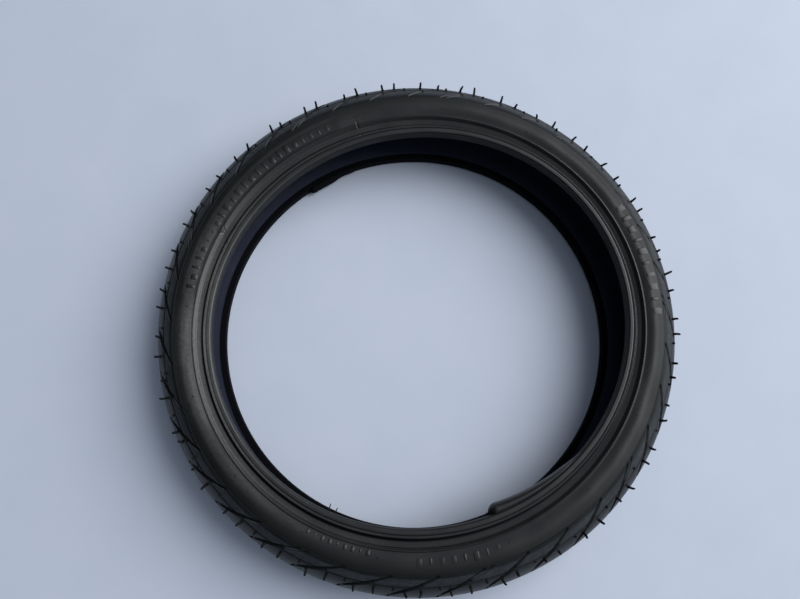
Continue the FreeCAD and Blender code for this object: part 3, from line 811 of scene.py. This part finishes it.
upper_lap = lap("upper_bead_lap_end", 293.6, 326, upper_reach, 21.8, 10.4)
LAP_DUST = 0.3
set_bloom_and_shade(upper_lap, np.full(len(upper_lap.data.vertices), LAP_DUST))
hand_over(upper_lap, "upper_bead_lap", chafer_rubber)
lower_lap = lap("lower_bead_lap_end", 134, 113, lower_reach, -20.5, 7.0)
# The lower lap takes the near-black rubber of painted shade.
hand_over(lower_lap, "lower_bead_lap", shaded_rubber)

# %% [markdown]
# ## Hairs and pips
# Air leaves the mould through fine vents, and rubber follows it: these are the hairs on the shoulders. All
# hairs of a set are one mesh of bent, tapered tubes with round tips. No two are alike, so their lengths,
# leans and places vary a little, from a fixed seed.

# %% Tapered tubes
SIDES = 7


def hairs(name, feet, ways, bends, lengths, root, tip):
    """Bent tapered tubes, one for each foot.

    The centre line is foot + way * length * s + bend * s^2 with s from 0 to 1. The radius goes from root to
    tip and then closes round the end. Two directions across the way carry the circle."""
    s = np.array([0, 0.25, 0.5, 0.75, 0.93, 1.0])
    wide = np.array([1, 0.78, 0.62, 0.45, 0.3, 0.12])
    radius = tip + (root - tip) * wide
    radius[-1] = tip * 0.45
    ways = ways / np.linalg.norm(ways, axis=1, keepdims=True)
    across = np.cross(ways, [0.3, 0.2, 0.93])
    across /= np.linalg.norm(across, axis=1, keepdims=True)
    other = np.cross(ways, across)
    far = s[None, :, None] * lengths[:, None, None]
    centre = feet[:, None] + ways[:, None] * far + bends[:, None] * (far / lengths[:, None, None]) ** 2
    a = np.arange(SIDES) * 2 * np.pi / SIDES
    cos_a, sin_a = np.cos(a)[None, None, :, None], np.sin(a)[None, None, :, None]
    circle = across[:, None, None] * cos_a + other[:, None, None] * sin_a
    tube = centre[:, :, None] + radius[None, :, None, None] * circle
    count, levels = len(feet), len(s)
    poles = np.stack([feet, centre[:, -1] + ways * tip * 0.3], 1)
    points = np.concatenate([tube.reshape(count, -1, 3), poles], 1)
    k, j = np.meshgrid(np.arange(levels - 1), np.arange(SIDES), indexing="ij")
    j2 = (j + 1) % SIDES
    quads = np.stack([k * SIDES + j, k * SIDES + j2, (k + 1) * SIDES + j2, (k + 1) * SIDES + j], -1)
    quads = quads.reshape(-1, 4)
    j, j2 = np.arange(SIDES), (np.arange(SIDES) + 1) % SIDES
    base, top = levels * SIDES, levels * SIDES + 1
    end = (levels - 1) * SIDES
    tris = np.vstack([np.stack([j2, j, np.full(SIDES, base)], -1),
                      np.stack([end + j, end + j2, np.full(SIDES, top)], -1)])
    shift = (np.arange(count) * points.shape[1])[:, None, None]
    faces = (quads[None] + shift).reshape(-1, 4).tolist() + (tris[None] + shift).reshape(-1, 3).tolist()
    piece = mesh_piece(name, points, faces)
    set_point_uv(piece, points.reshape(-1, 3)[:, [0, 2]] * MM)
    return piece


def spot(turn, place, way):
    """Foot and direction in space for a place and a direction of the section, at each turn."""
    a = np.radians(turn)
    feet = placed(turn, place[..., 0] + 0 * turn, place[..., 1] + 0 * turn)
    ways = np.stack([way[..., 0] * np.cos(a), way[..., 0] * np.sin(a), way[..., 1] + 0 * a], -1)
    return feet, ways


# %% Tread hairs
rng = np.random.default_rng(47305)
HAIR_ROOT, HAIR_TIP = 1.05, 0.68


def shoulder_hairs(name, side):
    """Two long hairs and a stub to a pitch, on the shoulder, square to the rubber and leaning a little."""
    offsets = np.array([-3.3, -6.9, 0.8])
    turn = (CUT_PHASE + np.arange(PITCHES)[:, None] * PITCH + offsets[None, :]).ravel()
    turn = turn + rng.normal(0, 0.35, turn.size)
    stub = np.tile([False, False, True], PITCHES)
    lean = np.where(stub, 46.0, 39.0) + rng.normal(0, 2.0, turn.size)
    place = tread_outside(lean) * [1, side]
    way = np.stack([np.cos(np.radians(lean)), side * np.sin(np.radians(lean))], -1)
    feet, ways = spot(turn, place - 0.3 * way, way)
    ways = ways + rng.normal(0, 0.18, ways.shape)
    bends = rng.normal(0, 0.7, ways.shape)
    lengths = np.where(stub, rng.uniform(1.0, 2.6, turn.size), rng.uniform(3.4, 5.6, turn.size))
    bends[stub] *= 0.2
    return hairs(name, feet, ways, bends, lengths, HAIR_ROOT, HAIR_TIP)


for side, label in ((1, "upper"), (-1, "lower")):
    piece = shoulder_hairs(f"{label}_tread_vent_hairs", side)
    hand_over(piece, f"{label}_tread_spews", tread_rubber)

# %% Pips on the sidewalls and hairs on the bead
PIP_ROOT, PIP_TIP = 0.6, 0.42
BEAD_HAIR_ROOT, BEAD_HAIR_TIP = 0.5, 0.28
pip_turns = np.array([2.7, 22, 43, 66, 90, 114, 138, 161, 185, 207, 228, 247.6, 265.2, 295.6, 318, 340])
for side, label in ((1, "upper"), (-1, "lower")):
    place = on_side(100.0, SKIN_OUT - 0.2) * [1, side]
    way = np.array([np.cos(np.radians(99)), side * np.sin(np.radians(99))])
    feet, ways = spot(pip_turns, place, way)
    tall = rng.uniform(0.5, 0.62, len(feet))
    piece = hairs(f"{label}_sidewall_vent_pips", feet, ways, 0 * ways, tall, PIP_ROOT, PIP_TIP)
    hand_over(piece, f"{label}_sidewall_pips", sidewall_rubber)

bead_turns = np.array([207.0, 250.7, 252.4, 293.2, 337.0])
bead_lengths = np.array([2.0, 4.8, 5.0, 1.8, 1.6])
feet, ways = spot(bead_turns, np.array([152.7, 20.0]), np.array([-1.0, -0.25]))
ways = ways + rng.normal(0, 0.12, ways.shape)
bends = rng.normal(0, 0.4, ways.shape)
piece = hairs("upper_bead_vent_hairs", feet, ways, bends, bead_lengths, BEAD_HAIR_ROOT, BEAD_HAIR_TIP)
hand_over(piece, "upper_bead_hairs", chafer_rubber)

# %% [markdown]
# ## Raised marks
# A tyre carries moulded words and numbers. Here plain raised bars and blocks stand in for them, with no
# letters. Each is a small cushion on the skin: a patch of grid that rises to a flat top and dips at its
# edge.

# %% Marks
MARK_RISE, MARK_SINK = 0.32, 0.15
MARK_RADIUS = 178


def skin_point(s, off):
    """Point of the skin's outside s millimetres from the shoulder: along the side arc, then the flank."""
    arc = np.radians(FLANK_ANGLE - TREAD_EDGE) * (SIDE_ARC + SKIN_OUT)
    angle = TREAD_EDGE + np.degrees(np.minimum(s, arc) / (SIDE_ARC + SKIN_OUT))
    on_arc = on_side(angle, SKIN_OUT + off)
    down = np.maximum(s - arc, 0)[..., None]
    slope = np.radians(FLANK_ANGLE - 90)
    return on_arc + down * np.array([-np.cos(slope), -np.sin(slope)])


def marks(name, groups):
    """Bars over (a, b) in -1 to 1: height is rise * (1 - a^6)(1 - b^6), less a little so the edge sinks in.

    Every third bar is shorter. The bars of all groups are one mesh."""
    middle, wide, low, high, sunk = ([] for _ in range(5))
    for start, step, widths, bottom, top, drop in groups:
        middle.append(start + step * np.arange(len(widths)))
        wide.append(np.array(widths))
        low.append(np.where(np.arange(len(widths)) % 3 == 1, bottom + 0.25 * (top - bottom), bottom))
        high.append(np.full(len(widths), top))
        sunk.append(np.full(len(widths), drop))
    lists = (middle, wide, low, high, sunk)
    middle, wide, low, high, sunk = (np.concatenate(values)[:, None, None] for values in lists)
    grid = np.array([-1, -0.97, -0.88, -0.6, 0, 0.6, 0.88, 0.97, 1])
    a, b = grid[None, :, None], grid[None, None, :]
    shape = (1 - a ** 6) * (1 - b ** 6)
    turn = middle + wide / 2 * a + 0 * b
    s = (low + high) / 2 + (high - low) / 2 * b + 0 * a + 0 * middle
    place = skin_point(s, MARK_RISE * shape - MARK_SINK - sunk)
    points = placed(turn, place[..., 0], place[..., 1])
    count, n = len(middle), len(grid)
    i, j = np.meshgrid(np.arange(n - 1), np.arange(n - 1), indexing="ij")
    quads = np.stack([i * n + j, (i + 1) * n + j, (i + 1) * n + j + 1, i * n + j + 1], -1).reshape(-1, 4)
    faces = (quads[None] + (np.arange(count) * n * n)[:, None, None]).reshape(-1, 4)
    uv = np.stack([np.radians(turn) * MARK_RADIUS * MM, s * MM], -1).reshape(-1, 2)[faces]
    return mesh_piece(name, points.reshape(-1, 3), faces.tolist(), uv)


wide_bars = [1.9, 0.9, 1.9, 1.3, 0.9, 1.9, 0.9, 1.9, 1.3, 1.9]
long_row = [1.5, 0.8, 1.5, 0.8, 1.5, 1.5, 0.8, 1.5, 0.8, 0.8, 1.5, 0.8] * 2
# First turn, step, widths of the bars (all in degrees), then lower edge, upper edge and drop in millimetres.
groups = [
    (6.5, 3.1, wide_bars, 0.6, 10.5, 0.0),
    (122.5, 2.5, long_row, 6.8, 13.2, 0.32),
    (248.5, 1.8, [0.9, 0.5, 0.9, 0.9, 0.5, 0.9, 0.9, 0.5, 0.9], 10.0, 14.0, 0.0),
    (274.5, 2.6, [1.6, 0.8, 1.6, 1.6, 0.8, 1.6, 0.8, 1.6], 5.0, 12.0, 0.0),
]
MARK_DUST = 0.15
piece = marks("upper_sidewall_plain_marks", groups)
set_bloom_and_shade(piece, np.full(len(piece.data.vertices), MARK_DUST))
hand_over(piece, "upper_sidewall_marks", sidewall_rubber)

# %% [markdown]
# ## Floor, light and camera
# A plain pale floor, a wide soft light from the right and a cool sky that is brighter on the same side: the
# tyre then throws one soft shadow to the left. The camera looks down from just under half a metre, tilted
# fifteen degrees from straight down.

# %% Floor
def pale_floor():
    """A matt, cool, pale surface with faint broad unevenness."""
    material, tree, shader = new_material("matt_pale_floor")
    where = add(tree, "ShaderNodeTexCoord").outputs["Object"]
    clouds = noise(tree, where, 60, 4.0)
    colour = {0: clouds, 6: linear("CBD5E6"), 7: linear("D6DEEC")}
    colour = add(tree, "ShaderNodeMix", colour, data_type="RGBA")
    tree.links.new(colour.outputs[2], shader.inputs["Base Color"])
    shader.inputs["Roughness"].default_value = 0.95
    shader.inputs["Specular IOR Level"].default_value = 0.1
    return material


SPAN = 3000
corners = np.array([[x * SPAN, y * SPAN, GROUND] for x, y in ((-1, -1), (1, -1), (1, 1), (-1, 1))])
floor = mesh_piece("floor", corners, [[0, 1, 2, 3]])
floor.data.materials.append(pale_floor())


# %% Light
def aimed(name, data, place, target):
    """An object at a place that looks at a target: its own -Z points there."""
    thing = bpy.data.objects.new(name, data)
    back = np.array(place, float) - target
    back /= np.linalg.norm(back)
    right = np.cross([0, 0, 1.0], back)
    right /= np.linalg.norm(right)
    up = np.cross(back, right)
    matrix = np.eye(4)
    matrix[:3, :3] = np.stack([right, up, back], 1)
    matrix[:3, 3] = place
    thing.matrix_world = Matrix(matrix.tolist())
    bpy.context.scene.collection.objects.link(thing)


soft_light = bpy.data.lights.new("soft_light", "AREA")
soft_light.shape = "DISK"
soft_light.size = 2.6
soft_light.energy = 65
soft_light.color = (1.0, 0.99, 0.97)
LIGHT_PLACE = (1.74, 0.98, 1.95)
aimed("soft_light", soft_light, LIGHT_PLACE, (0, 0, 0))

# The sky is dim all round and brightens towards one direction, as the dot product with it grows.
BRIGHT_WAY = (0.68, 0.30, 0.67)
DIM, BRIGHT = 0.06, 1.0
world = bpy.data.worlds.new("one_sided_sky")
world.use_nodes = True
sky = world.node_tree.nodes["Background"]
sky.inputs[0].default_value = linear("DCE6F6")
ray = add(world.node_tree, "ShaderNodeTexCoord").outputs["Generated"]
facing = add(world.node_tree, "ShaderNodeVectorMath", {0: ray, 1: BRIGHT_WAY}, operation="DOT_PRODUCT")
strength = spread(world.node_tree, facing.outputs["Value"], 0.35, 1.0, DIM, BRIGHT)
world.node_tree.links.new(strength, sky.inputs[1])
bpy.context.scene.world = world
bpy.context.scene.view_settings.view_transform = "Standard"
print("light at", LIGHT_PLACE, "sky brightest towards", BRIGHT_WAY)

# %% Camera
AZIMUTH, TILT, ROLL = np.radians([-3.8, 14.7, -5.8])
DISTANCE = 489.8
LOOK_AT = np.array([-17.1, 14.2, 0.0])

back = np.array([np.sin(AZIMUTH) * np.sin(TILT), -np.cos(AZIMUTH) * np.sin(TILT), np.cos(TILT)])
rough_up = np.array([np.sin(ROLL), np.cos(ROLL), 0])
right = np.cross(-back, rough_up)
right /= np.linalg.norm(right)
matrix = np.eye(4)
matrix[:3, :3] = np.stack([right, np.cross(right, -back), back], 1)
matrix[:3, 3] = (LOOK_AT + back * DISTANCE) * MM
lens = bpy.data.cameras.new("camera")
lens.lens = 27.9
lens.sensor_width = 36
lens.clip_start = 0.01
camera = bpy.data.objects.new("camera", lens)
camera.matrix_world = Matrix(matrix.tolist())
bpy.context.scene.collection.objects.link(camera)
bpy.context.scene.camera = camera
print("camera at", [round(x, 3) for x in camera.matrix_world.translation])
